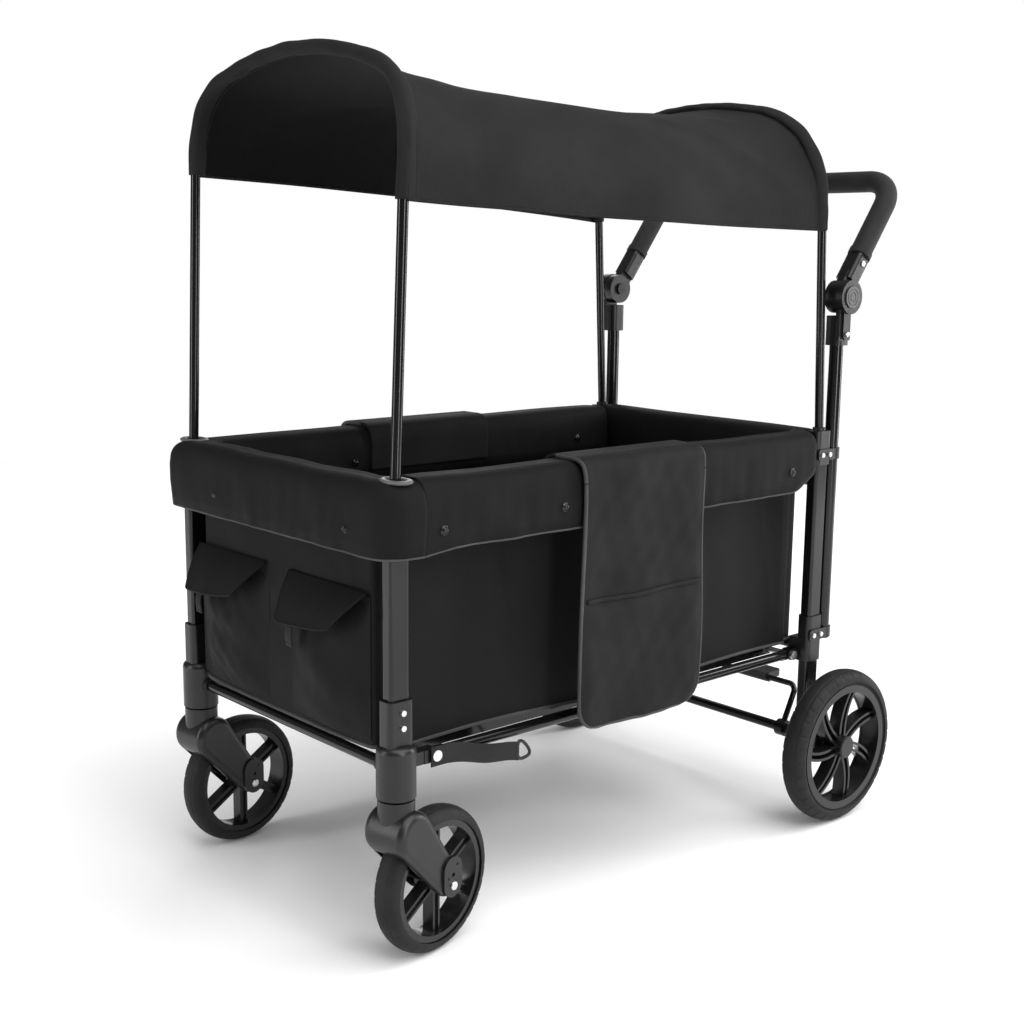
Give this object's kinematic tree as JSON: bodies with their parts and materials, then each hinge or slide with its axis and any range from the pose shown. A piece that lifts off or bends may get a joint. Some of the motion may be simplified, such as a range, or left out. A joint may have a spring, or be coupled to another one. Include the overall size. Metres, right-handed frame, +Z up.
{
  "type": "folding push wagon",
  "caption": "Folding child wagon with fabric tub, canopy on two hoops, swivelling front casters, large rear wheels and a push handle.",
  "frame": {"origin": "on the ground under the middle of the wagon's overall box", "axes": "+X from the casters towards the push handle, +Y towards the side without the fold strap, +Z up"},
  "size_m": [1.083, 0.659, 1.194],
  "materials": {
    "gloss_tube": "gloss black powder coat",
    "bracket_plastic": "satin dark grey moulded plastic",
    "hub_button_plastic": "satin, ringed",
    "black_steel": "satin black",
    "bright_steel": "bright zinc",
    "tub_fabric": "black polyester weave",
    "rim_fabric": "black padded polyester with grey piping",
    "organiser_fabric": "black padded polyester with grey binding",
    "canopy_fabric": "charcoal sun-shade fabric",
    "mat_fabric": "black quilted mat",
    "webbing": "black webbing",
    "tyre_rubber": "moulded foam rubber",
    "rim_plastic": "gloss black",
    "grip_foam": "soft matt sleeve"
  },
  "bodies": {
    "rear_frame": {"rear_posts": "gloss_tube", "rear_upper_brackets": "bracket_plastic", "rear_lower_brackets": "bracket_plastic", "rear_axle_brackets": "bracket_plastic", "handle_tube_clips": "bracket_plastic", "rear_fasteners": "bright_steel", "handle_lower_tubes": "gloss_tube", "rear_cross_tubes": "gloss_tube", "rear_axle": "gloss_tube", "rear_tub_walls": "tub_fabric", "rear_rim_cover": "rim_fabric", "side_rim_covers": "rim_fabric", "side_organisers": "organiser_fabric", "rear_canopy_hoop": "gloss_tube", "rear_canopy_cover": "canopy_fabric", "handle_lower_housings": "bracket_plastic", "handle_pivots": "black_steel", "button_springs": "bright_steel"},
    "floor_rear": {"rear_links": "gloss_tube", "rear_floor_shaft": "bright_steel", "rear_floor_frame": "gloss_tube", "rear_floor_mat": "mat_fabric"},
    "floor_front": {"front_links": "gloss_tube", "front_floor_shaft": "bright_steel", "front_floor_frame": "gloss_tube", "front_floor_mat": "mat_fabric"},
    "front_frame": {"front_posts": "gloss_tube", "front_upper_brackets": "bracket_plastic", "front_corner_brackets": "bracket_plastic", "front_fasteners": "bright_steel", "front_cross_tubes": "gloss_tube", "front_side_walls": "tub_fabric", "front_wall": "tub_fabric", "front_rim_cover": "rim_fabric", "front_canopy_hoop": "gloss_tube", "front_canopy_cover": "canopy_fabric", "fold_strap": "webbing", "fold_strap_ring": "bracket_plastic"},
    "top_rails_rear": {"rear_top_rails": "gloss_tube"},
    "top_rails_front": {"front_top_rails": "gloss_tube"},
    "caster_right": {"caster_fork_right": "bracket_plastic", "front_axle_bolt_right": "bright_steel"},
    "caster_left": {"caster_fork_left": "bracket_plastic", "front_axle_bolt_left": "bright_steel"},
    "front_wheel_right": {"front_rim_right": "rim_plastic", "front_tyre_right": "tyre_rubber"},
    "front_wheel_left": {"front_rim_left": "rim_plastic", "front_tyre_left": "tyre_rubber"},
    "rear_wheel_right": {"rear_rim_right": "rim_plastic", "rear_tyre_right": "tyre_rubber"},
    "rear_wheel_left": {"rear_rim_left": "rim_plastic", "rear_tyre_left": "tyre_rubber"},
    "brake": {"brake_bar": "gloss_tube", "brake_pedal": "bracket_plastic"},
    "push_handle": {"handle_upper_housings": "bracket_plastic", "handle_tube": "gloss_tube", "handle_grip": "grip_foam", "socket_screws": "bright_steel"},
    "hub_button_right": {"hub_button_right": "hub_button_plastic"},
    "hub_button_left": {"hub_button_left": "hub_button_plastic"}
  },
  "joints": [
    {"name": "frame_fold", "type": "hinge", "parent": "rear_frame", "child": "floor_rear", "pos_m": [0.31755, 0, 0.272], "axis": [0, 1, 0], "range_deg": [0, 70], "deforming": ["side_rim_covers", "side_organisers"]},
    {"name": "floor_middle_hinge", "type": "hinge", "parent": "floor_rear", "child": "floor_front", "pos_m": [-0.05945, 0, 0.272], "axis": [0, 1, 0], "range_deg": [-141, 1]},
    {"name": "floor_front_hinge", "type": "hinge", "parent": "floor_front", "child": "front_frame", "pos_m": [-0.43645, 0, 0.272], "axis": [0, 1, 0], "range_deg": [-1, 71]},
    {"name": "top_rail_rear_hinge", "type": "hinge", "parent": "rear_frame", "child": "top_rails_rear", "pos_m": [0.31755, 0, 0.625], "axis": [0, 1, 0], "range_deg": [-71, 1]},
    {"name": "top_rail_front_hinge", "type": "hinge", "parent": "front_frame", "child": "top_rails_front", "pos_m": [-0.43645, 0, 0.625], "axis": [0, 1, 0], "range_deg": [-1, 71]},
    {"name": "caster_swivel_right", "type": "hinge", "parent": "front_frame", "child": "caster_right", "pos_m": [-0.50795, -0.248, 0.236], "axis": [0, 0, 1], "continuous": true},
    {"name": "front_wheel_spin_right", "type": "hinge", "parent": "caster_right", "child": "front_wheel_right", "pos_m": [-0.44017, -0.23507, 0.1], "axis": [-0.1874, 0.9823, 0], "continuous": true},
    {"name": "caster_swivel_left", "type": "hinge", "parent": "front_frame", "child": "caster_left", "pos_m": [-0.50795, 0.248, 0.236], "axis": [0, 0, 1], "continuous": true},
    {"name": "front_wheel_spin_left", "type": "hinge", "parent": "caster_left", "child": "front_wheel_left", "pos_m": [-0.43932, 0.25509, 0.1], "axis": [-0.1028, 0.9947, 0], "continuous": true},
    {"name": "rear_wheel_spin_right", "type": "hinge", "parent": "rear_frame", "child": "rear_wheel_right", "pos_m": [0.35755, -0.3075, 0.127], "axis": [0, 1, 0], "continuous": true},
    {"name": "rear_wheel_spin_left", "type": "hinge", "parent": "rear_frame", "child": "rear_wheel_left", "pos_m": [0.35755, 0.3075, 0.127], "axis": [0, 1, 0], "continuous": true},
    {"name": "brake_pedal_press", "type": "hinge", "parent": "rear_frame", "child": "brake", "pos_m": [0.35755, 0, 0.127], "axis": [0, 1, 0], "range_deg": [0, 18]},
    {"name": "handle_tilt", "type": "hinge", "parent": "rear_frame", "child": "push_handle", "pos_m": [0.38255, 0, 0.859], "axis": [0, 1, 0], "range_deg": [-20, 90]},
    {"name": "hub_button_press_right", "type": "slide", "parent": "rear_frame", "child": "hub_button_right", "axis": [0, 1, 0], "range_m": [0, 0.0035], "stiffness_N_per_m": 900, "springref_m": -0.002, "deforming": ["button_springs"]},
    {"name": "hub_button_press_left", "type": "slide", "parent": "rear_frame", "child": "hub_button_left", "axis": [0, -1, 0], "range_m": [0, 0.0035], "stiffness_N_per_m": 900, "springref_m": -0.002, "deforming": ["button_springs"]}
  ],
  "couplings": [
    {"joint": "floor_middle_hinge", "follows": "frame_fold", "ratio": -2},
    {"joint": "floor_front_hinge", "follows": "frame_fold", "ratio": 1},
    {"joint": "top_rail_rear_hinge", "follows": "frame_fold", "ratio": -1},
    {"joint": "top_rail_front_hinge", "follows": "frame_fold", "ratio": 1}
  ]
}
